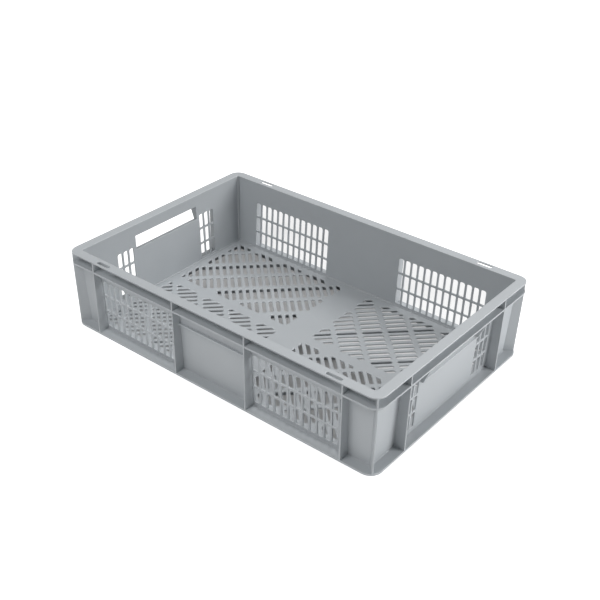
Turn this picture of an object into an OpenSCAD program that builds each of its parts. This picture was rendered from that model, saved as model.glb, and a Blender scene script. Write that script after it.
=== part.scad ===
// Ventilated stacking crate for carrying poultry: an open-topped plastic tray with a flat rim,
// a stiffening band below it, slotted walls and floor, hand holes in the ends and a stacking foot.
// The real crate is one moulding. Each region of it is a closed solid here, and the regions
// meet face to face. Millimetres, +X along the length, +Z up, origin under the middle of the foot.

/* [Overall] */
// Outside length, at the rim
crate_l = 600; // [540:1:800]
// Outside width, at the rim
crate_w = 400; // [350:1:500]
// Overall height, from the foot to the top of the rim
crate_h = 145; // [120:1:320]
// Plan radius of the outside corners of the rim and the band
corner_r = 18; // [8:0.5:22]

/* [Rim and band] */
// Width of the flat rim, from its outside edge to the opening
rim_w = 16.3; // [15:0.1:20]
// Thickness of the rim
rim_t = 2.4; // [1.6:0.1:4]
// Drop from the top of the rim to the top of the band
band_drop = 17.3; // [12:0.1:26]
// Thickness of the band
band_t = 3; // [2:0.1:4]
// Length of each slot through the long rims
rim_slot_l = 27; // [12:0.5:36]
// Width of each slot through the long rims
rim_slot_w = 6; // [4.4:0.1:8]
// Distance from the end of the crate to the middle of a slot
rim_slot_inset = 76.8; // [45:0.1:110]

/* [Walls] */
// Thickness of the walls
wall_t = 2.5; // [1.6:0.1:4]
// How far each wall leans in from the rim down to the floor
wall_lean = 5.2; // [1:0.1:8]

/* [Ribs] */
// Thickness of the upright ribs and of the diagonal corner fins
rib_t = 2.5; // [1.6:0.1:4]
// Distance between the two middle ribs of a long wall
centre_bay = 140.4; // [100:0.2:180]
// Distance from the end of the crate to the outer rib of a long wall
long_corner_bay = 58.6; // [40:0.2:80]
// Distance from the side of the crate to the rib of an end wall
end_corner_bay = 75.7; // [60:0.1:80]

/* [Vents] */
// Width of a window
vent_w = 9.5; // [5:0.1:12]
// Height of a window
vent_h = 25.9; // [10:0.1:32]
// Width of the upright bars between windows
vent_bar_w = 3.36; // [2:0.02:8]
// Height of the level bars between rows of windows
vent_bar_h = 3.3; // [2:0.1:8]
// Drop from the top of the rim to the top row of windows
vent_drop = 38.9; // [32:0.1:60]
// Least plain strip between the windows and what bounds them
vent_margin = 2; // [1:0.1:6]
// Corner radius of a window
vent_r = 2; // [0.5:0.1:2.4]
// Radius of the upper corners of the top row
vent_top_r = 3.5; // [0.5:0.1:4.5]
// Plain strip between a hand hole's gusset and the first windows of an end wall
end_vent_margin = 3.9; // [1:0.1:8]

/* [Grips] */
// Width of the hand hole in an end wall
grip_w = 144; // [110:1:150]
// Drop from the top of the rim to the top of the grip lips
lip_drop = 45; // [36:0.5:60]
// Thickness of the grip lips
lip_t = 2.5; // [1.6:0.1:4]
// Distance from the outside of the crate in to the tip of a grip lip
lip_inset = 11.6; // [4:0.1:13]
// Thickness of the gussets beside a hand hole
gusset_t = 2.5; // [1.6:0.1:4]
// Distance from the outside edge of the band in to the top of a gusset
gusset_inset = 1.3; // [0:0.1:5]

/* [Floor] */
// Thickness of the floor
floor_t = 3; // [2:0.1:5]
// How far the edge of the floor is let into the base flange
floor_lap = 1.5; // [0.5:0.1:2.5]
// Half width of the plain band along the middle of the floor
long_band_half = 10; // [6:0.5:16]
// Half width of the plain band across the middle of the floor
cross_band_half = 26.5; // [15:0.5:40]
// Plain border between the slots and the walls
floor_border = 12; // [6:0.5:24]
// Spacing of the diagonal ribs under the floor, measured along a wall
floor_rib_pitch = 120; // [80:1:160]
// Thickness of the diagonal ribs
floor_rib_t = 2; // [1.5:0.1:4]
// Depth of the diagonal ribs below the floor
floor_rib_depth = 7; // [3:0.5:11]
// Number of slots side by side between two ribs
slots_across = 7; // [4:1:8]
// Number of slots end to end between two ribs
slots_along = 2; // [1:1:3]
// Length of a floor slot
slot_l = 34; // [10:0.5:38]
// Width of a floor slot
slot_w = 5.8; // [3:0.1:7]

/* [Foot] */
// Height of the stacking foot below the base flange
foot_h = 12; // [12:0.5:24]
// Thickness of the foot's wall
foot_t = 3; // [2:0.1:5]
// Plan radius of the foot's outside corners
foot_corner_r = 8; // [6:0.5:16]
// Thickness of the base flange
base_flange_t = 3.5; // [2.6:0.1:6]
// Distance from the outside of the crate in to the edge of the base flange
base_inset = 1.5; // [0:0.1:5]
// Plan radius of the base flange's corners
base_corner_r = 20; // [8:0.5:24]

/* [Hidden] */
$fn = 48;
plastic = [0.66, 0.68, 0.70];
// Levels, from the foot upwards
base_top = foot_h + base_flange_t;
floor_under = base_top - floor_lap;
floor_top = floor_under + floor_t;
lip_top = crate_h - lip_drop;
lip_under = lip_top - lip_t;
band_top = crate_h - band_drop;
band_under = band_top - band_t;
wall_top = crate_h - rim_t;
// Half sizes of the opening at the top of the walls
open_x = crate_l / 2 - rim_w;
open_y = crate_w / 2 - rim_w;
// Middle planes of the ribs
rib_in = centre_bay / 2;
rib_out = crate_l / 2 - long_corner_bay;
end_rib = crate_w / 2 - end_corner_bay;
// The mitre lines of all the corners meet the long middle line at this distance from the centre
mitre = (crate_l - crate_w) / 2;
// Windows: pitches and counts
vent_pitch_x = vent_w + vent_bar_w;
vent_pitch_z = vent_h + vent_bar_h;
vent_rows = floor((crate_h - vent_drop - floor_top - vent_margin + vent_bar_h) / vent_pitch_z);
long_bay = rib_out - rib_in - rib_t;
long_columns = floor((long_bay - 2 * vent_margin + vent_bar_w) / vent_pitch_x);
end_vent_start = grip_w / 2 + gusset_t + end_vent_margin;
end_vent_room = end_rib - rib_t / 2 - vent_margin - end_vent_start;
end_columns = floor((end_vent_room + vent_bar_w) / vent_pitch_x);
// Half sizes of the floor, which reaches the outside of the walls
floor_x = open_x - wall_lean + wall_t;
floor_y = open_y - wall_lean + wall_t;
// Far corner of a field of floor slots
field_x = floor_x - wall_t - floor_border;
field_y = floor_y - wall_t - floor_border;
// A slot whose middle lies further than this outside its field leaves no opening worth cutting
slot_reach = (slot_l / 2 - slot_w) * cos(45);
// Length that passes right through the crate
through = crate_l + crate_w;

// How far the inside of a wall at height z lies in from the opening
function lean(z) = wall_lean * (wall_top - z) / (wall_top - floor_top);
function inner_x(z) = open_x - lean(z);
function inner_y(z) = open_y - lean(z);
function outer_x(z) = inner_x(z) + wall_t;
function outer_y(z) = inner_y(z) + wall_t;

// Distance from the mitre point out to the rounded corner of an outline of half width half_w
function corner_reach(half_w, r) = (half_w - r) * sqrt(2) + r;

// Places a piece made for the front wall at the back, and one made for the right end at the left
module at_back() {
    mirror([0, 1, 0]) children();
}
module at_left() {
    mirror([1, 0, 0]) children();
}
module both_sides_x() {
    children();
    mirror([1, 0, 0]) children();
}
module both_sides_y() {
    children();
    mirror([0, 1, 0]) children();
}

// Stretches a profile drawn in Y and Z from x0 to x1, or one drawn in X and Z from y0 to y1
module along_x(x0, x1) {
    translate([x0, 0, 0]) rotate([90, 0, 90]) linear_extrude(x1 - x0) children();
}
module along_y(y0, y1) {
    translate([0, y1, 0]) rotate([90, 0, 0]) linear_extrude(y1 - y0) children();
}

// Plan of a rectangle with rounded corners, given its half sizes
module rounded_plan(half_l, half_w, r) {
    square([2 * half_l, 2 * (half_w - r)], center = true);
    square([2 * (half_l - r), 2 * half_w], center = true);
    for (sx = [-1, 1], sy = [-1, 1])
        translate([sx * (half_l - r), sy * (half_w - r)]) circle(r);
}

// Plan of a slot with round ends, lying along X
module slot_plan(length, width) {
    square([length - width, width], center = true);
    for (s = [-1, 1])
        translate([s * (length - width) / 2, 0]) circle(width / 2);
}

// The share of the plan that belongs to the front wall, and to the right end, cut at the mitres
module front_share() {
    linear_extrude(crate_h)
        polygon([[mitre, 0], [mitre + crate_w, -crate_w], [-mitre - crate_w, -crate_w], [-mitre, 0]]);
}
module right_share() {
    linear_extrude(crate_h) polygon([[mitre, 0], [mitre + crate_w, -crate_w], [mitre + crate_w, crate_w]]);
}

// All that the edge of the floor and the outside of the leaning walls enclose, up to the top of the rim
module walled_profile(at_floor, at_rim) {
    polygon([
        [-at_floor, floor_under], [at_floor, floor_under], [at_floor, floor_top],
        [at_rim, wall_top], [at_rim, crate_h], [-at_rim, crate_h], [-at_rim, wall_top], [-at_floor, floor_top]
    ]);
}
module walled_space() {
    intersection() {
        along_y(-through, through) walled_profile(floor_x, open_x + wall_t);
        along_x(-through, through) walled_profile(floor_y, open_y + wall_t);
    }
}

// Lengths of the leaning front wall and of the leaning right end wall
module front_wall(x0, x1, z0, z1) {
    along_x(x0, x1)
        polygon([[-outer_y(z0), z0], [-inner_y(z0), z0], [-inner_y(z1), z1], [-outer_y(z1), z1]]);
}
module right_wall(y0, y1, z0, z1) {
    along_y(y0, y1)
        polygon([[inner_x(z0), z0], [outer_x(z0), z0], [outer_x(z1), z1], [inner_x(z1), z1]]);
}

// One window, standing on the origin, with its own radius at the upper corners
module window(top_r) {
    translate([-vent_w / 2, vent_r]) square([vent_w, vent_h - vent_r - top_r]);
    translate([vent_r - vent_w / 2, 0]) square([vent_w - 2 * vent_r, vent_h / 2]);
    translate([top_r - vent_w / 2, vent_h / 2]) square([vent_w - 2 * top_r, vent_h / 2]);
    for (s = [-1, 1]) {
        translate([s * (vent_w / 2 - vent_r), vent_r]) circle(vent_r);
        translate([s * (vent_w / 2 - top_r), vent_h - top_r]) circle(top_r);
    }
}

// A field of windows whose first column is centred on first, drawn along the wall and up
module windows(first, columns) {
    for (column = [0 : 1 : columns - 1], row = [0 : 1 : vent_rows - 1])
        translate([first + column * vent_pitch_x, crate_h - vent_drop - vent_h - row * vent_pitch_z])
            window(row == 0 ? vent_top_r : vent_r);
}

// Rim: a flat ring, with slots through the overhang of its long sides
module rim_ring() {
    slot_y = (open_y + wall_t + crate_w / 2) / 2;
    translate([0, 0, wall_top])
        linear_extrude(rim_t)
            difference() {
                rounded_plan(crate_l / 2, crate_w / 2, corner_r);
                square([2 * open_x, 2 * open_y], center = true);
                for (sx = [-1, 1], sy = [-1, 1])
                    translate([sx * (crate_l / 2 - rim_slot_inset), sy * slot_y])
                        slot_plan(rim_slot_l, rim_slot_w);
            }
}
module rim_front() {
    color(plastic) intersection() {
        rim_ring();
        front_share();
    }
}
module rim_right() {
    color(plastic) intersection() {
        rim_ring();
        right_share();
    }
}
module rim_back() {
    at_back() rim_front();
}
module rim_left() {
    at_left() rim_right();
}

// Band: a second flange below the rim, around the outside of the walls
module band_ring() {
    difference() {
        translate([0, 0, band_under])
            linear_extrude(band_t) rounded_plan(crate_l / 2, crate_w / 2, corner_r);
        walled_space();
    }
}
module band_front() {
    color(plastic) intersection() {
        band_ring();
        front_share();
    }
}
module band_right() {
    color(plastic) intersection() {
        band_ring();
        right_share();
    }
}
module band_back() {
    at_back() band_front();
}
module band_left() {
    at_left() band_right();
}

// Long walls: a plain middle panel, a field of windows on each side and a plain bay at each corner
module front_centre_panel() {
    color(plastic) front_wall(-rib_in, rib_in, floor_top, wall_top);
}
module front_vents_right() {
    first = (rib_in + rib_out - (long_columns - 1) * vent_pitch_x) / 2;
    color(plastic) difference() {
        front_wall(rib_in, rib_out, floor_top, wall_top);
        along_y(-crate_w, 0) windows(first, long_columns);
    }
}
module front_vents_left() {
    at_left() front_vents_right();
}
module front_corner_panels() {
    color(plastic) both_sides_x() intersection() {
        front_wall(rib_out, crate_l / 2, floor_top, wall_top);
        front_share();
    }
}
module back_centre_panel() {
    at_back() front_centre_panel();
}
module back_vents_right() {
    at_back() front_vents_right();
}
module back_vents_left() {
    at_back() front_vents_left();
}
module back_corner_panels() {
    at_back() front_corner_panels();
}

// End walls: a panel below the hand hole, a strip above it, windows beside it and plain corner bays
module right_end_panel() {
    color(plastic) right_wall(-grip_w / 2, grip_w / 2, floor_top, lip_top);
}
module right_grip_strip() {
    color(plastic) right_wall(-grip_w / 2, grip_w / 2, band_under, wall_top);
}
module right_vents() {
    color(plastic) both_sides_y() difference() {
        right_wall(grip_w / 2, end_rib, floor_top, wall_top);
        along_x(0, crate_l) windows(end_vent_start + vent_w / 2, end_columns);
    }
}
module right_corner_panels() {
    color(plastic) both_sides_y() intersection() {
        right_wall(end_rib, crate_w / 2, floor_top, wall_top);
        right_share();
    }
}
module left_end_panel() {
    at_left() right_end_panel();
}
module left_grip_strip() {
    at_left() right_grip_strip();
}
module left_vents() {
    at_left() right_vents();
}
module left_corner_panels() {
    at_left() right_corner_panels();
}

// Grip lips: shelves for the fingers, between the middle ribs and along the hand holes
module front_grip_lip() {
    color(plastic) along_x(rib_t / 2 - rib_in, rib_in - rib_t / 2)
        polygon([
            [lip_inset - crate_w / 2, lip_under], [-outer_y(lip_under), lip_under],
            [-outer_y(lip_top), lip_top], [lip_inset - crate_w / 2, lip_top]
        ]);
}
module right_grip_lip() {
    color(plastic) along_y(-grip_w / 2, grip_w / 2)
        polygon([
            [outer_x(lip_under), lip_under], [crate_l / 2 - lip_inset, lip_under],
            [crate_l / 2 - lip_inset, lip_top], [outer_x(lip_top), lip_top]
        ]);
}
module back_grip_lip() {
    at_back() front_grip_lip();
}
module left_grip_lip() {
    at_left() right_grip_lip();
}

// Gussets: tapered cheeks that tie the ends of a hand hole's lip to the band
module right_grip_gussets() {
    color(plastic) both_sides_y() along_y(grip_w / 2, grip_w / 2 + gusset_t)
        polygon([
            [outer_x(lip_under), lip_under], [crate_l / 2 - lip_inset, lip_under],
            [crate_l / 2 - gusset_inset, band_under], [outer_x(band_under), band_under]
        ]);
}
module left_grip_gussets() {
    at_left() right_grip_gussets();
}

// Upright ribs: each has a long stretch below the band and a short one between band and rim
module front_rib_profile() {
    polygon([
        [-outer_y(band_under), band_under], [-floor_y, floor_top], [-floor_y, base_top],
        [base_inset - crate_w / 2, base_top], [-crate_w / 2, band_under]
    ]);
    polygon([
        [-outer_y(wall_top), wall_top], [-outer_y(band_top), band_top],
        [-crate_w / 2, band_top], [-crate_w / 2, wall_top]
    ]);
}
module right_rib_profile() {
    polygon([
        [outer_x(band_under), band_under], [floor_x, floor_top], [floor_x, base_top],
        [crate_l / 2 - base_inset, base_top], [crate_l / 2, band_under]
    ]);
    polygon([
        [outer_x(wall_top), wall_top], [outer_x(band_top), band_top],
        [crate_l / 2, band_top], [crate_l / 2, wall_top]
    ]);
}
module front_ribs() {
    color(plastic) for (x = [-rib_out, -rib_in, rib_in, rib_out])
        along_x(x - rib_t / 2, x + rib_t / 2) front_rib_profile();
}
module right_ribs() {
    color(plastic) for (y = [-end_rib, end_rib])
        along_y(y - rib_t / 2, y + rib_t / 2) right_rib_profile();
}
module back_ribs() {
    at_back() front_ribs();
}
module left_ribs() {
    at_left() right_ribs();
}

// Corner fins: diagonal webs from the corner of the walls out to the rounded corners of the flanges
module corner_fin_back_right() {
    rim_reach = corner_reach(crate_w / 2, corner_r);
    base_reach = corner_reach(crate_w / 2 - base_inset, base_corner_r);
    root = inner_y(floor_top) * sqrt(2);
    color(plastic) difference() {
        translate([mitre, 0, 0]) rotate([0, 0, 45]) along_y(-rib_t / 2, rib_t / 2) {
            polygon([
                [root, base_top], [base_reach, base_top], [rim_reach, band_under], [root, band_under]
            ]);
            polygon([[root, band_top], [rim_reach, band_top], [rim_reach, wall_top], [root, wall_top]]);
        }
        walled_space();
    }
}
module corner_fin_front_right() {
    at_back() corner_fin_back_right();
}
module corner_fin_back_left() {
    at_left() corner_fin_back_right();
}
module corner_fin_front_left() {
    at_left() corner_fin_front_right();
}

// Floor: a quarter of the plate, with a field of diagonal slots above a lattice of diagonal ribs
module floor_slots() {
    along = floor_rib_pitch / slots_along;
    across = floor_rib_pitch / slots_across;
    rows_up = ceil(field_y / across);
    rows_down = ceil(field_x / across);
    intersection() {
        translate([cross_band_half, long_band_half])
            square([field_x - cross_band_half, field_y - long_band_half]);
        union() for (k = [1 : ceil((field_x + field_y) / along)], j = [-rows_down : rows_up]) {
            x = (along * k - across * (j + 0.5)) / 2;
            y = (along * k + across * (j + 0.5)) / 2;
            clear_x = min(x - cross_band_half, field_x - x);
            clear_y = min(y - long_band_half, field_y - y);
            if (min(clear_x, clear_y) > -slot_reach)
                translate([x, y]) rotate(45) slot_plan(slot_l, slot_w);
        }
    }
}
module floor_ribs_plan() {
    // Ribs across the slots lie midway between slot ends, and ribs along them midway between slots
    first_across = floor_rib_pitch * (1 - 1 / (2 * slots_along));
    for (u = [first_across : floor_rib_pitch : floor_x + floor_y])
        translate([u / 2, u / 2]) rotate(-45) square([through, floor_rib_t], center = true);
    for (i = [-ceil(floor_x / floor_rib_pitch) : ceil(floor_y / floor_rib_pitch)])
        translate([-i, i] * floor_rib_pitch / 2) rotate(45) square([through, floor_rib_t], center = true);
}
module floor_back_right() {
    color(plastic) {
        translate([0, 0, floor_under])
            linear_extrude(floor_t)
                difference() {
                    square([floor_x, floor_y]);
                    floor_slots();
                }
        translate([0, 0, floor_under - floor_rib_depth])
            linear_extrude(floor_rib_depth)
                intersection() {
                    square([floor_x, floor_y]);
                    foot_inside();
                    floor_ribs_plan();
                }
    }
}
module floor_front_right() {
    at_back() floor_back_right();
}
module floor_back_left() {
    at_left() floor_back_right();
}
module floor_front_left() {
    at_left() floor_front_right();
}

// Foot: a skirt under the edge of the floor that drops inside the rim of the crate underneath
module foot_inside() {
    rounded_plan(floor_x - foot_t, floor_y - foot_t, foot_corner_r - foot_t);
}
// All that the foot and the floor above it fill, to cut the base flange with
module foot_outside() {
    linear_extrude(floor_top) rounded_plan(floor_x, floor_y, foot_corner_r);
}
module foot_ring() {
    linear_extrude(floor_under)
        difference() {
            rounded_plan(floor_x, floor_y, foot_corner_r);
            foot_inside();
        }
}
module foot_front() {
    color(plastic) intersection() {
        foot_ring();
        front_share();
    }
}
module foot_right() {
    color(plastic) intersection() {
        foot_ring();
        right_share();
    }
}
module foot_back() {
    at_back() foot_front();
}
module foot_left() {
    at_left() foot_right();
}

// Base flange: stands out from the foot and the edge of the floor, and rests on the rim underneath
module base_flange_ring() {
    difference() {
        translate([0, 0, foot_h])
            linear_extrude(base_flange_t)
                rounded_plan(crate_l / 2 - base_inset, crate_w / 2 - base_inset, base_corner_r);
        walled_space();
        foot_outside();
    }
}
module base_flange_front() {
    color(plastic) intersection() {
        base_flange_ring();
        front_share();
    }
}
module base_flange_right() {
    color(plastic) intersection() {
        base_flange_ring();
        right_share();
    }
}
module base_flange_back() {
    at_back() base_flange_front();
}
module base_flange_left() {
    at_left() base_flange_right();
}

rim_front();
rim_back();
rim_left();
rim_right();
band_front();
band_back();
band_left();
band_right();
front_centre_panel();
front_vents_left();
front_vents_right();
front_corner_panels();
back_centre_panel();
back_vents_left();
back_vents_right();
back_corner_panels();
left_end_panel();
left_grip_strip();
left_vents();
left_corner_panels();
right_end_panel();
right_grip_strip();
right_vents();
right_corner_panels();
front_grip_lip();
back_grip_lip();
left_grip_lip();
right_grip_lip();
left_grip_gussets();
right_grip_gussets();
front_ribs();
back_ribs();
left_ribs();
right_ribs();
corner_fin_front_left();
corner_fin_front_right();
corner_fin_back_left();
corner_fin_back_right();
floor_front_left();
floor_front_right();
floor_back_left();
floor_back_right();
base_flange_front();
base_flange_back();
base_flange_left();
base_flange_right();
foot_front();
foot_back();
foot_left();
foot_right();
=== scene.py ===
import math

import bmesh
import bpy
from mathutils import Matrix, Quaternion, Vector
from mathutils.bvhtree import BVHTree


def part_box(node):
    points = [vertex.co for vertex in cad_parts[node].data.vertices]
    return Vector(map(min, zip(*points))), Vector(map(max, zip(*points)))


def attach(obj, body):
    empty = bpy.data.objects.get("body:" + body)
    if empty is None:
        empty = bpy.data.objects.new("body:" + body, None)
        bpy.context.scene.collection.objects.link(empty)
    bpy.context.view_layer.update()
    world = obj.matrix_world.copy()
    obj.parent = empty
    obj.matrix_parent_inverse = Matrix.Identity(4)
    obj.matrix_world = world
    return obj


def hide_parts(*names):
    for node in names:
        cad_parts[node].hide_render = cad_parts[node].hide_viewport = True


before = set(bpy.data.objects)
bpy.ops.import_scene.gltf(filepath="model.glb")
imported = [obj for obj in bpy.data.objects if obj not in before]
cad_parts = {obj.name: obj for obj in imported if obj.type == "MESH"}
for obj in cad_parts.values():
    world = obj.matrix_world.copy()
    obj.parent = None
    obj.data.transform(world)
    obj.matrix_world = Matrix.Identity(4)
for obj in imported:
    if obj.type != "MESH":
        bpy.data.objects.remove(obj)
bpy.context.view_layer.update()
scene = bpy.context.scene

# Floor: the slotted plate that the load stands on, stiffened below by a lattice of diagonal ribs.
# It belongs to one injection moulding in grey polypropylene, as does every other region here.
# The mould rounds each free edge a little, and a region runs into the next without a mark.
EDGE_RADIUS = 0.0005
SLOT_RADIUS = 0.0018
ROUNDING_STEPS = 2
# How far below the top a rounding changes the edges, as a share of its radius
ROUNDING_REACH = 1.2
SHARP_ANGLE = math.radians(30)
CREASE_ANGLE = math.radians(60)
# Facets that meet at less than these angles are taken as one face
FLAT_FACETS = math.radians(0.2)
CURVED_FACETS = math.radians(10)
# Points closer than this are one point
WELD = 1e-6
# Surfaces closer than this touch
TOUCH = 2e-5
# Where along an edge its touch with other regions is tried
PROBES = (0.25, 0.5, 0.75)
solids = {name: solid.data for name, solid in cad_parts.items()}
surfaces = {
    name: BVHTree.FromPolygons(
        [vertex.co for vertex in data.vertices], [polygon.vertices[:] for polygon in data.polygons]
    )
    for name, data in solids.items()
}
boxes = {name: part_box(name) for name in solids}


def meets_another(point, own):
    """Whether a point of one region lies on the surface of another."""
    for name, (low, high) in boxes.items():
        near = name != own and all(low[i] - TOUCH < point[i] < high[i] + TOUCH for i in range(3))
        if near and surfaces[name].find_nearest(point, TOUCH)[0] is not None:
            return True
    return False


def is_free(edge, own):
    """Whether an edge stands out from the moulding, so that the mould rounds it."""
    if len(edge.link_faces) != 2 or not edge.is_convex or edge.calc_face_angle() < SHARP_ANGLE:
        return False
    start, end = (vertex.co for vertex in edge.verts)
    met = [meets_another(start.lerp(end, share), own) for share in PROBES]
    return sum(met) <= len(PROBES) // 2


def rounded(mesh, edges, radius):
    """Rounds edges of a region and marks the new faces, which rub on other crates."""
    marks = mesh.faces.layers.float
    rubbed = marks.get("rubbed_edge") or marks.new("rubbed_edge")
    made = bmesh.ops.bevel(
        mesh,
        geom=edges,
        offset=radius,
        offset_type="OFFSET",
        segments=ROUNDING_STEPS,
        profile=0.5,
        affect="EDGES",
        clamp_overlap=False,
    )
    for face in made["faces"]:
        face[rubbed] = 1.0
    mesh.normal_update()


def region(name, radius, facets, top_radius):
    """A copy of one solid of the moulding with its free edges rounded, those on top by more."""
    mesh = bmesh.new()
    mesh.from_mesh(solids[name])
    bmesh.ops.remove_doubles(mesh, verts=mesh.verts, dist=WELD)
    bmesh.ops.dissolve_limit(mesh, angle_limit=facets, verts=mesh.verts, edges=mesh.edges)
    mesh.normal_update()
    edges = list(mesh.edges)
    if top_radius:
        top = boxes[name][1].z
        on_top = [edge for edge in edges if min(vertex.co.z for vertex in edge.verts) > top - TOUCH]
        rounded(mesh, [edge for edge in on_top if is_free(edge, name)], top_radius)
        clear = top - ROUNDING_REACH * top_radius
        edges = [edge for edge in mesh.edges if max(vertex.co.z for vertex in edge.verts) < clear]
    rounded(mesh, [edge for edge in edges if is_free(edge, name)], radius)
    return mesh


def moulded(name, regions, plastic, radius=EDGE_RADIUS, facets=FLAT_FACETS, top_radius=0):
    """A visible piece made of regions of the moulding, with flat faces shaded flat."""
    whole = bpy.data.meshes.new(name)
    together = bmesh.new()
    for part in regions:
        mesh = region(part, radius, facets, top_radius)
        mesh.to_mesh(whole)
        mesh.free()
        together.from_mesh(whole)
    for face in together.faces:
        face.smooth = True
    for edge in together.edges:
        edge.smooth = edge.calc_face_angle(math.pi) < CREASE_ANGLE
    together.to_mesh(whole)
    together.free()
    rough = bpy.data.objects.new(name, whole)
    scene.collection.objects.link(rough)
    flat = rough.modifiers.new("flat_faces", "WEIGHTED_NORMAL")
    flat.keep_sharp = True
    shaded = rough.evaluated_get(bpy.context.evaluated_depsgraph_get())
    finished = bpy.data.meshes.new_from_object(shaded)
    bpy.data.objects.remove(rough)
    bpy.data.meshes.remove(whole)
    finished.name = name
    finished.materials.clear()
    finished.materials.append(plastic)
    piece = bpy.data.objects.new(name, finished)
    scene.collection.objects.link(piece)
    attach(piece, "root")
    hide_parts(*regions)


def node_group(name, inputs, outputs):
    """A shader group with its sockets, and the two nodes that its links start from and end at."""
    group = bpy.data.node_groups.new(name, "ShaderNodeTree")
    for label, kind, value in inputs:
        socket = group.interface.new_socket(label, in_out="INPUT", socket_type=kind)
        if value is not None:
            socket.default_value = value
    for label in outputs:
        group.interface.new_socket(label, in_out="OUTPUT", socket_type="NodeSocketFloat")
    return group, group.nodes.new("NodeGroupInput"), group.nodes.new("NodeGroupOutput")


def feed(tree, socket, value):
    """Gives a socket its value, which is another socket or a number."""
    if isinstance(value, bpy.types.NodeSocket):
        tree.links.new(value, socket)
    else:
        socket.default_value = value


def math_node(tree, operation, *values):
    """A Math node, each of whose values is a socket or a number."""
    node = tree.nodes.new("ShaderNodeMath")
    node.operation = operation
    for socket, value in zip(node.inputs, values):
        feed(tree, socket, value)
    return node.outputs["Value"]


# The fine bite of the mould's spark-eroded steel
GRAINS_PER_METRE = 900.0
GRAIN_DEPTH = 0.00004
GRAIN_STRENGTH = 0.25
grain, enter, leave = node_group(
    "mould_grain",
    [("Place", "NodeSocketVector", None), ("Grains per metre", "NodeSocketFloat", GRAINS_PER_METRE)],
    ["Height"],
)
speckle = grain.nodes.new("ShaderNodeTexNoise")
speckle.inputs["Detail"].default_value = 3.0
grain.links.new(enter.outputs["Place"], speckle.inputs["Vector"])
grain.links.new(enter.outputs["Grains per metre"], speckle.inputs["Scale"])
grain.links.new(speckle.outputs["Fac"], leave.inputs["Height"])

# Faint clouds where the melt flowed and cooled unevenly
CLOUDS_PER_METRE = 14.0
MEAN_NOISE = 0.5
flow, enter, leave = node_group(
    "melt_flow",
    [("Place", "NodeSocketVector", None), ("Clouds per metre", "NodeSocketFloat", CLOUDS_PER_METRE)],
    ["Tone"],
)
cloud = flow.nodes.new("ShaderNodeTexNoise")
cloud.inputs["Detail"].default_value = 4.0
cloud.inputs["Distortion"].default_value = 0.6
flow.links.new(enter.outputs["Place"], cloud.inputs["Vector"])
flow.links.new(enter.outputs["Clouds per metre"], cloud.inputs["Scale"])
flow.links.new(math_node(flow, "SUBTRACT", cloud.outputs["Fac"], MEAN_NOISE), leave.inputs["Tone"])

# Short hair scratches from other crates and from the load, all one way
SCRATCHES_PER_METRE = (22.0, 900.0, 900.0)
# A scratch starts to show at the first value of the noise and is full at the second
SCRATCH_NOISE = (0.66, 0.74)
scratches, enter, leave = node_group(
    "hair_scratches",
    [("Place", "NodeSocketVector", None), ("Direction", "NodeSocketVector", None)],
    ["Mask"],
)
turned = scratches.nodes.new("ShaderNodeVectorRotate")
turned.rotation_type = "EULER_XYZ"
stretched = scratches.nodes.new("ShaderNodeVectorMath")
stretched.operation = "MULTIPLY"
stretched.inputs[1].default_value = SCRATCHES_PER_METRE
hair = scratches.nodes.new("ShaderNodeTexNoise")
hair.inputs["Scale"].default_value = 1.0
hair.inputs["Detail"].default_value = 2.0
thin = scratches.nodes.new("ShaderNodeMapRange")
thin.inputs["From Min"].default_value = SCRATCH_NOISE[0]
thin.inputs["From Max"].default_value = SCRATCH_NOISE[1]
scratches.links.new(enter.outputs["Place"], turned.inputs["Vector"])
scratches.links.new(enter.outputs["Direction"], turned.inputs["Rotation"])
scratches.links.new(turned.outputs["Vector"], stretched.inputs[0])
scratches.links.new(stretched.outputs["Vector"], hair.inputs["Vector"])
scratches.links.new(hair.outputs["Fac"], thin.inputs["Value"])
scratches.links.new(thin.outputs["Result"], leave.inputs["Mask"])

# Arrises that rubbing has polished and made paler; only the paler colour is drawn, more in some spots
# than in others
RUBS_PER_METRE = 45.0
rub, enter, leave = node_group(
    "edge_rub",
    [
        ("Place", "NodeSocketVector", None),
        ("Edge", "NodeSocketFloat", 0.0),
        ("Amount", "NodeSocketFloat", 0.5),
    ],
    ["Mask"],
)
spots = rub.nodes.new("ShaderNodeTexNoise")
spots.inputs["Scale"].default_value = RUBS_PER_METRE
spots.inputs["Detail"].default_value = 3.0
rub.links.new(enter.outputs["Place"], spots.inputs["Vector"])
worn = math_node(rub, "MULTIPLY", enter.outputs["Edge"], spots.outputs["Fac"])
rub.links.new(math_node(rub, "MULTIPLY", worn, enter.outputs["Amount"]), leave.inputs["Mask"])

# The plastic itself: its colour, its satin skin, and how much the clouds change both
GREY = (0.430, 0.455, 0.475)
RUBBED_GREY = (0.62, 0.64, 0.66, 1)
PLASTIC_IOR = 1.49
SATIN = 0.46
CLOUDS_IN_SATIN = 0.16
CLOUDS_IN_GREY = 0.10


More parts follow.
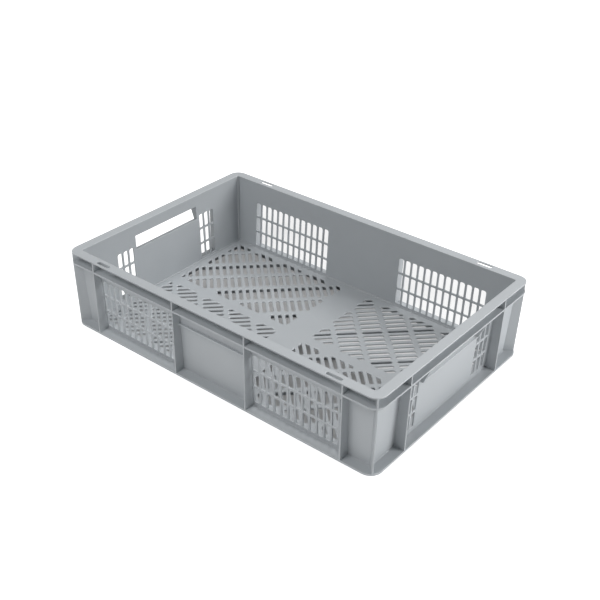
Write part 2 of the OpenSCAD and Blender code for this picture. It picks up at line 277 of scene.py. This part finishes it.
def polypropylene(name, rubbed, scratched, scratch_turn):
    """Grey polypropylene with a satin skin, rubbed and scratched as much as its place calls for."""
    material = bpy.data.materials.new(name)
    material.use_nodes = True
    tree = material.node_tree
    shader = tree.nodes["Principled BSDF"]
    shader.inputs["IOR"].default_value = PLASTIC_IOR
    place = tree.nodes.new("ShaderNodeTexCoord").outputs["Object"]
    edge = tree.nodes.new("ShaderNodeAttribute")
    edge.attribute_name = "rubbed_edge"
    effects = {}
    for group in (grain, flow, scratches, rub):
        effects[group] = tree.nodes.new("ShaderNodeGroup")
        effects[group].node_tree = group
        tree.links.new(place, effects[group].inputs["Place"])
    effects[scratches].inputs["Direction"].default_value = scratch_turn
    effects[rub].inputs["Amount"].default_value = rubbed
    tree.links.new(edge.outputs["Fac"], effects[rub].inputs["Edge"])
    lines = math_node(tree, "MULTIPLY", effects[scratches].outputs["Mask"], scratched)
    tone = math_node(tree, "MULTIPLY_ADD", effects[flow].outputs["Tone"], CLOUDS_IN_GREY, 1.0)
    clouded = tree.nodes.new("ShaderNodeVectorMath")
    clouded.operation = "SCALE"
    clouded.inputs[0].default_value = GREY
    tree.links.new(tone, clouded.inputs["Scale"])
    paler = tree.nodes.new("ShaderNodeMix")
    paler.data_type = "RGBA"
    paler.inputs["B"].default_value = RUBBED_GREY
    worn = math_node(tree, "MAXIMUM", lines, effects[rub].outputs["Mask"])
    tree.links.new(worn, paler.inputs["Factor"])
    tree.links.new(clouded.outputs["Vector"], paler.inputs["A"])
    tree.links.new(paler.outputs["Result"], shader.inputs["Base Color"])
    satin = math_node(tree, "MULTIPLY_ADD", effects[flow].outputs["Tone"], CLOUDS_IN_SATIN, SATIN)
    tree.links.new(satin, shader.inputs["Roughness"])
    bite = tree.nodes.new("ShaderNodeBump")
    bite.inputs["Strength"].default_value = GRAIN_STRENGTH
    bite.inputs["Distance"].default_value = GRAIN_DEPTH
    tree.links.new(effects[grain].outputs["Height"], bite.inputs["Height"])
    tree.links.new(bite.outputs["Normal"], shader.inputs["Normal"])
    return material


def nodes_called(word):
    """The solids whose names begin or end with a word."""
    return [name for name in sorted(solids) if name.startswith(word) or name.endswith(word)]


# Turns of the scratches about x, y and z: askew on level faces, straight along the others
ASKEW = (0.0, 0.0, 0.6)
STRAIGHT = (0.0, 0.0, 0.0)
stood_on = polypropylene("polypropylene_floor", rubbed=0.35, scratched=0.10, scratch_turn=ASKEW)
moulded("floor", nodes_called("floor_"), stood_on, facets=CURVED_FACETS, top_radius=SLOT_RADIUS)

# Foot: the skirt under the edge of the floor that drops into the rim of the crate below.
# It is moulded with the floor in the same plastic, stands on concrete and belts, and rubs most.
standing = polypropylene("polypropylene_foot", rubbed=0.7, scratched=0.15, scratch_turn=ASKEW)
moulded("foot", nodes_called("foot_"), standing)

# Base flange: the ledge around the bottom of the walls that sits on the rim of the crate below.
# It closes the bays between the ribs at the bottom and is moulded with the walls.
plain = polypropylene("polypropylene_walls", rubbed=0.3, scratched=0.02, scratch_turn=STRAIGHT)
moulded("base_flange", nodes_called("base_flange_"), plain)

# Walls: the leaning sides and ends, each with a plain panel between fields of small windows.
# They are moulded in place, with enough draft to leave the mould, and the ends have a hand hole.
WALL_REGIONS = (
    "_centre_panel",
    "_end_panel",
    "_grip_strip",
    "_corner_panels",
    "_vents_left",
    "_vents_right",
    "_vents",
)
for wall in ("front", "back", "left", "right"):
    panels = [wall + ending for ending in WALL_REGIONS if wall + ending in solids]
    moulded(wall + "_wall", panels, plain, facets=CURVED_FACETS)

# Grip lips and gussets: small shelves under the hands and the cheeks beside the hand holes.
# Moulded with the walls, they stiffen the edge that fingers pull on, and hands have smoothed them.
held = polypropylene("polypropylene_grips", rubbed=0.5, scratched=0.02, scratch_turn=STRAIGHT)
moulded("grip_lips", nodes_called("_grip_lip"), held)
moulded("grip_gussets", nodes_called("_grip_gussets"), held)

# Ribs and corner fins: thin upright webs from the base flange to the rim, on edge to the walls.
# They keep the sides straight in a stack and are moulded with them.
moulded("upright_ribs", nodes_called("_ribs"), plain)
moulded("corner_fins", nodes_called("corner_fin_"), plain)

# Band: the flange that runs around the walls a little below the rim, moulded with them.
# With the rim it makes the stiff channel that people hold the crate by.
moulded("band", nodes_called("band_"), held)

# Rim: the flat top edge that the next crate stands on, with a slot near each end of the long sides.
# It is moulded at the head of the walls, and the crates stacked on it have scuffed its top face.
RIM_RADIUS = 0.0008
stacked_on = polypropylene("polypropylene_rim", rubbed=0.5, scratched=0.10, scratch_turn=ASKEW)
moulded("rim", nodes_called("rim_"), stacked_on, radius=RIM_RADIUS)

# Coves: the soft inside corners where the walls meet the floor, each other and the base flange.
# They are the same shot of plastic, left by rounded edges of the steel, and they keep dirt out.
FLOOR_COVE = 0.0020
FLANGE_COVE = 0.0012
UPRIGHT_COVE = 0.0030
# How far an upright cove stays below the top of the rim
BELOW_RIM = 0.0004
# A cove's section, in shares of its radius: how deep its back and its toes sink in, and its hollow
COVE_BACK = -0.2
COVE_TOE = -0.02
COVE_HOLLOW = 1 - math.sqrt(0.5)


def geometry_tree(name, inputs):
    """A Geometry Nodes tree with named inputs, and the nodes its links start from and end at."""
    tree = bpy.data.node_groups.new(name, "GeometryNodeTree")
    tree.is_modifier = True
    sockets = [("Geometry", "NodeSocketGeometry")] + inputs + [("Plastic", "NodeSocketMaterial")]
    for label, kind in sockets:
        tree.interface.new_socket(label, in_out="INPUT", socket_type=kind)
    tree.interface.new_socket("Geometry", in_out="OUTPUT", socket_type="NodeSocketGeometry")
    return tree, tree.nodes.new("NodeGroupInput"), tree.nodes.new("NodeGroupOutput")


def finish_tree(tree, start, end, instances):
    """Ends a tree with real geometry that carries the plastic."""
    real = tree.nodes.new("GeometryNodeRealizeInstances")
    paint = tree.nodes.new("GeometryNodeSetMaterial")
    tree.links.new(instances, real.inputs["Geometry"])
    tree.links.new(real.outputs["Geometry"], paint.inputs["Geometry"])
    tree.links.new(start.outputs["Plastic"], paint.inputs["Material"])
    tree.links.new(paint.outputs["Geometry"], end.inputs["Geometry"])


def grown(name, seeds, tree, settings):
    """A visible piece that a tree makes from the points of a mesh."""
    rough = bpy.data.objects.new(name, seeds)
    scene.collection.objects.link(rough)
    growth = rough.modifiers.new("growth", "NODES")
    growth.node_group = tree
    inputs = [item for item in tree.interface.items_tree if item.in_out == "INPUT"]
    sockets = {item.name: item.identifier for item in inputs}
    for label, value in settings.items():
        growth[sockets[label]] = value
    full = rough.evaluated_get(bpy.context.evaluated_depsgraph_get())
    finished = bpy.data.meshes.new_from_object(full)
    bpy.data.objects.remove(rough)
    bpy.data.meshes.remove(seeds)
    finished.name = name
    piece = bpy.data.objects.new(name, finished)
    scene.collection.objects.link(piece)
    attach(piece, "root")


strips, enter, leave = geometry_tree("strips_in_corners", [])
section = strips.nodes.new("GeometryNodeCurvePrimitiveQuadrilateral")
section.mode = "POINTS"
section.inputs["Point 1"].default_value = (COVE_BACK, COVE_BACK, 0)
section.inputs["Point 2"].default_value = (1, COVE_TOE, 0)
section.inputs["Point 3"].default_value = (COVE_HOLLOW, COVE_HOLLOW, 0)
section.inputs["Point 4"].default_value = (COVE_TOE, 1, 0)
run = strips.nodes.new("GeometryNodeCurvePrimitiveLine")
run.inputs["End"].default_value = (0, 0, 1)
strip = strips.nodes.new("GeometryNodeCurveToMesh")
strip.inputs["Fill Caps"].default_value = True
placed = strips.nodes.new("GeometryNodeInstanceOnPoints")
turn = strips.nodes.new("GeometryNodeInputNamedAttribute")
turn.data_type = "FLOAT_VECTOR"
turn.inputs["Name"].default_value = "turn"
rotation = strips.nodes.new("FunctionNodeEulerToRotation")
size = strips.nodes.new("GeometryNodeInputNamedAttribute")
size.data_type = "FLOAT_VECTOR"
size.inputs["Name"].default_value = "size"
strips.links.new(run.outputs["Curve"], strip.inputs["Curve"])
strips.links.new(section.outputs["Curve"], strip.inputs["Profile Curve"])
strips.links.new(enter.outputs["Geometry"], placed.inputs["Points"])
strips.links.new(strip.outputs["Mesh"], placed.inputs["Instance"])
strips.links.new(turn.outputs["Attribute"], rotation.inputs["Euler"])
strips.links.new(rotation.outputs["Rotation"], placed.inputs["Rotation"])
strips.links.new(size.outputs["Attribute"], placed.inputs["Scale"])
finish_tree(strips, enter, leave, placed.outputs["Instances"])

floor_top = boxes["floor_back_right"][1].z
flange_top = boxes["base_flange_front"][1].z
rim_top = boxes["rim_front"][1].z
wall_top = boxes["rim_front"][0].z
outside_x = boxes["floor_back_right"][1].x
outside_y = boxes["floor_back_right"][1].y
opening_x = boxes["rim_right"][0].x
opening_y = boxes["rim_back"][0].y
inside_x = boxes["right_end_panel"][0].x
inside_y = boxes["back_centre_panel"][0].y


def cove(start, end, first, second, radius):
    """Where a strip starts, its turn and its size, from the ways its two walls run."""
    along = (end - start).normalized()
    sides = [(way - way.dot(along) * along).normalized() for way in (first, second)]
    if sides[0].cross(sides[1]).dot(along) < 0:
        sides.reverse()
    euler = Matrix((*sides, along)).transposed().to_euler()
    return start, Vector(euler), Vector((radius, radius, (end - start).length))


coves = []
up = Vector((0, 0, 1))
# An upright cove's length, as a share of the way from the floor to the underside of the rim
rise = (rim_top - BELOW_RIM - floor_top) / (wall_top - floor_top)
for side in (-1, 1):
    for half_x, half_y, level, radius, inwards in (
        (inside_x, inside_y, floor_top, FLOOR_COVE, 1),
        (outside_x, outside_y, flange_top, FLANGE_COVE, -1),
    ):
        long_edge = [Vector((end * half_x, side * half_y, level)) for end in (-1, 1)]
        short_edge = [Vector((side * half_x, end * half_y, level)) for end in (-1, 1)]
        coves.append(cove(*long_edge, Vector((0, -side * inwards, 0)), up, radius))
        coves.append(cove(*short_edge, Vector((-side * inwards, 0, 0)), up, radius))
    for end in (-1, 1):
        foot = Vector((end * inside_x, side * inside_y, floor_top))
        head = foot.lerp(Vector((end * opening_x, side * opening_y, wall_top)), rise)
        coves.append(cove(foot, head, Vector((0, -side, 0)), Vector((-end, 0, 0)), UPRIGHT_COVE))
seeds = bpy.data.meshes.new("cove_places")
seeds.from_pydata([values[0] for values in coves], [], [])
for label, column in (("turn", 1), ("size", 2)):
    layer = seeds.attributes.new(label, "FLOAT_VECTOR", "POINT")
    for item, values in zip(layer.data, coves):
        item.vector = values[column]
grown("coves", seeds, strips, {"Plastic": plain})

# Ejector marks: shallow round pads on the underside of the floor, beside the lattice.
# The pins that push the crate out of the mould leave them, a fifth of a millimetre proud.
MARK_RADIUS = 0.004
MARK_CORNERS = 32
# Half of a pad is sunk in the floor
MARK_THICKNESS = 0.0004
MARKS_ALONG = (-0.165, -0.060, 0.060, 0.165)
MARKS_ACROSS = (-0.150, -0.055, 0.055, 0.150)
marks, enter, leave = geometry_tree(
    "pads_at_points", [("Radius", "NodeSocketFloat"), ("Thickness", "NodeSocketFloat")]
)
pad = marks.nodes.new("GeometryNodeMeshCylinder")
pad.inputs["Vertices"].default_value = MARK_CORNERS
stamped = marks.nodes.new("GeometryNodeInstanceOnPoints")
marks.links.new(enter.outputs["Radius"], pad.inputs["Radius"])
marks.links.new(enter.outputs["Thickness"], pad.inputs["Depth"])
marks.links.new(enter.outputs["Geometry"], stamped.inputs["Points"])
marks.links.new(pad.outputs["Mesh"], stamped.inputs["Instance"])
finish_tree(marks, enter, leave, stamped.outputs["Instances"])
# The foot hangs from the underside of the floor
floor_under = boxes["foot_front"][1].z
places = [(x, 0.0, floor_under) for x in MARKS_ALONG] + [(0.0, y, floor_under) for y in MARKS_ACROSS]
seeds = bpy.data.meshes.new("mark_places")
seeds.from_pydata(places, [], [])
grown(
    "ejector_marks",
    seeds,
    marks,
    {"Radius": MARK_RADIUS, "Thickness": MARK_THICKNESS, "Plastic": stood_on},
)

# Studio floor: a sheet of white paper on a light table, in a white room.
# The paper shows painted shade under the crate and a painted shadow behind it, and the glow around it
# lights the crate.
PAPER_REACH = 4.0
PAPER_GREY = 0.5
TABLE_GLOW = 0.5
ROOM_LIGHT = 0.04
WHITE = 1.0
# How bright the paper shows: evenly around the crate, with a painted shadow behind it and painted
# shade under its left and right halves
PAPER_AROUND = 0.95
PAINTED_SHADOW_BEHIND = 0.5
PAINTED_SHADE_UNDER_LEFT = 0.22
PAINTED_SHADE_UNDER_RIGHT = 0.46
# What is left of the painted shade's brightness under the front half, so the painted shade is darker
# there
PAINTED_SHADE_FRONT = 0.25
# The painted shade under the crate and the painted shadow behind it, and where each fades, in half
# sizes
UNDER_MIDDLE = (0.0, 0.018)
UNDER_HALF = (0.292, 0.19)
UNDER_FADE = (0.935, 1.0)
BEHIND_MIDDLE = (-0.09, 0.265)
BEHIND_HALF = (0.25, 0.08)
BEHIND_FADE = (1.0, 1.4)
# Where the painted shade's left half gives way to its right one, and its front half to its back one
LEFT_TO_RIGHT = (-0.04, 0.08)
FRONT_TO_BACK = (0.005, 0.05)


def ramp(tree, value, span, low=0.0, high=1.0):
    """A smooth change from a low to a high number over a span of a value."""
    node = tree.nodes.new("ShaderNodeMapRange")
    node.interpolation_type = "SMOOTHSTEP"
    for label, number in zip(("From Min", "From Max", "To Min", "To Max"), (*span, low, high)):
        node.inputs[label].default_value = number
    tree.links.new(value, node.inputs["Value"])
    return node.outputs["Result"]


def mixed(tree, share, first, second):
    """A Mix node from a first to a second number, each a socket or a number."""
    node = tree.nodes.new("ShaderNodeMix")
    for label, value in (("Factor", share), ("A", first), ("B", second)):
        feed(tree, node.inputs[label], value)
    return node.outputs["Result"]


def share_of_box(tree, place, middle, half):
    """How far a place lies from the middle of a rectangle, where 1 is its edge."""
    shares = []
    for axis, centre, reach in zip("XY", middle, half):
        offset = math_node(tree, "SUBTRACT", place.outputs[axis], centre)
        shares.append(math_node(tree, "DIVIDE", math_node(tree, "ABSOLUTE", offset), reach))
    return math_node(tree, "MAXIMUM", *shares)


corners = [(-1, -1), (1, -1), (1, 1), (-1, 1)]
paper_mesh = bpy.data.meshes.new("studio_floor")
paper_mesh.from_pydata([(x * PAPER_REACH, y * PAPER_REACH, 0) for x, y in corners], [], [(0, 1, 2, 3)])
studio_floor = bpy.data.objects.new("studio_floor", paper_mesh)
scene.collection.objects.link(studio_floor)
paper = bpy.data.materials.new("white_paper")
paper.use_nodes = True
tree = paper.node_tree
tree.nodes.clear()
place = tree.nodes.new("ShaderNodeSeparateXYZ")
tree.links.new(tree.nodes.new("ShaderNodeTexCoord").outputs["Object"], place.inputs["Vector"])
beside = ramp(tree, share_of_box(tree, place, UNDER_MIDDLE, UNDER_HALF), UNDER_FADE)
# A painted shadow on the paper behind the crate, to its back left, where camera rays see the paper
# darker
behind = share_of_box(tree, place, BEHIND_MIDDLE, BEHIND_HALF)
around = ramp(tree, behind, BEHIND_FADE, PAINTED_SHADOW_BEHIND, PAPER_AROUND)
# Painted shade under the crate for camera rays: lighter to the right, darker under the front half
painted_shade_sideways = ramp(tree, place.outputs["X"], LEFT_TO_RIGHT, PAINTED_SHADE_UNDER_LEFT, PAINTED_SHADE_UNDER_RIGHT)
painted_shade_frontwards = ramp(tree, place.outputs["Y"], FRONT_TO_BACK, PAINTED_SHADE_FRONT, 1.0)
# Camera rays see the painted shade under the crate, and the paper with its painted shadow around it
seen = mixed(tree, beside, math_node(tree, "MULTIPLY", painted_shade_sideways, painted_shade_frontwards), around)
lit = math_node(tree, "MULTIPLY", beside, TABLE_GLOW)
ray = tree.nodes.new("ShaderNodeLightPath")
glow = tree.nodes.new("ShaderNodeEmission")
tree.links.new(mixed(tree, ray.outputs["Is Camera Ray"], lit, seen), glow.inputs["Strength"])
matt = tree.nodes.new("ShaderNodeBsdfDiffuse")
matt.inputs["Color"].default_value = (PAPER_GREY, PAPER_GREY, PAPER_GREY, 1)
both = tree.nodes.new("ShaderNodeAddShader")
surface = tree.nodes.new("ShaderNodeOutputMaterial")
tree.links.new(matt.outputs["BSDF"], both.inputs[0])
tree.links.new(glow.outputs["Emission"], both.inputs[1])
tree.links.new(both.outputs["Shader"], surface.inputs["Surface"])
paper_mesh.materials.append(paper)

room = bpy.data.worlds.new("white_room")
scene.world = room
room.use_nodes = True
tree = room.node_tree
background = tree.nodes["Background"]
background.inputs["Color"].default_value = (1, 1, 1, 1)
ray = tree.nodes.new("ShaderNodeLightPath")
shown = math_node(tree, "MAXIMUM", ray.outputs["Is Camera Ray"], ray.outputs["Is Glossy Ray"])
tree.links.new(mixed(tree, shown, ROOM_LIGHT, WHITE), background.inputs["Strength"])

# Lights: square softboxes on stands around the crate, all turned to its middle.
# The strongest stands beyond the right end, a little to the back. The next hang above front and back.
LIGHTS_AIM = Vector((0, 0, 0.07))


def softbox(name, place, size, power):
    """A square soft light turned to the middle of the crate."""
    light = bpy.data.lights.new(name, "AREA")
    light.shape = "SQUARE"
    light.size = size
    light.energy = power
    lamp = bpy.data.objects.new(name, light)
    scene.collection.objects.link(lamp)
    lamp.location = place
    lamp.rotation_mode = "QUATERNION"
    lamp.rotation_quaternion = (LIGHTS_AIM - Vector(place)).to_track_quat("-Z", "Y")


softbox("light_above", place=(0.0, 0.1, 2.2), size=1.4, power=4)
softbox("light_above_back", place=(-0.2, 1.2, 2.0), size=1.2, power=18)
softbox("light_above_front", place=(-0.2, -1.6, 2.0), size=1.2, power=26)
softbox("light_front_low", place=(-0.2, -2.4, 0.5), size=1.0, power=3.6)
softbox("light_right", place=(2.2, 0.9, 1.0), size=1.2, power=44)
softbox("light_left", place=(-2.3, 0.0, 1.4), size=1.4, power=2)

# Camera: it stands off the front right corner, well above the rim, and looks down into the crate.
# Its place, its turns and its lens give the photograph's view, without a shifted lens.
PICTURE_WIDTH = 600
LENS_IN_PIXELS = 1015.8
SENSOR_WIDTH = 36
CAMERA_X = 0.85285
CAMERA_Y = -1.06551
CAMERA_ABOVE_RIM = 0.78074
ROUND_TO_RIGHT = math.radians(38.32)
DOWNWARDS = math.radians(31.76)
ROLL = math.radians(1.25)
camera_data = bpy.data.cameras.new("camera")
camera_data.sensor_width = SENSOR_WIDTH
camera_data.lens = SENSOR_WIDTH * LENS_IN_PIXELS / PICTURE_WIDTH
camera = bpy.data.objects.new("camera", camera_data)
scene.collection.objects.link(camera)
scene.camera = camera
camera.location = (CAMERA_X, CAMERA_Y, rim_top + CAMERA_ABOVE_RIM)
look = Vector((-math.sin(ROUND_TO_RIGHT), math.cos(ROUND_TO_RIGHT), -math.tan(DOWNWARDS)))
camera.rotation_mode = "QUATERNION"
camera.rotation_quaternion = look.to_track_quat("-Z", "Y") @ Quaternion((0, 0, 1), ROLL)
scene.view_settings.view_transform = "Standard"
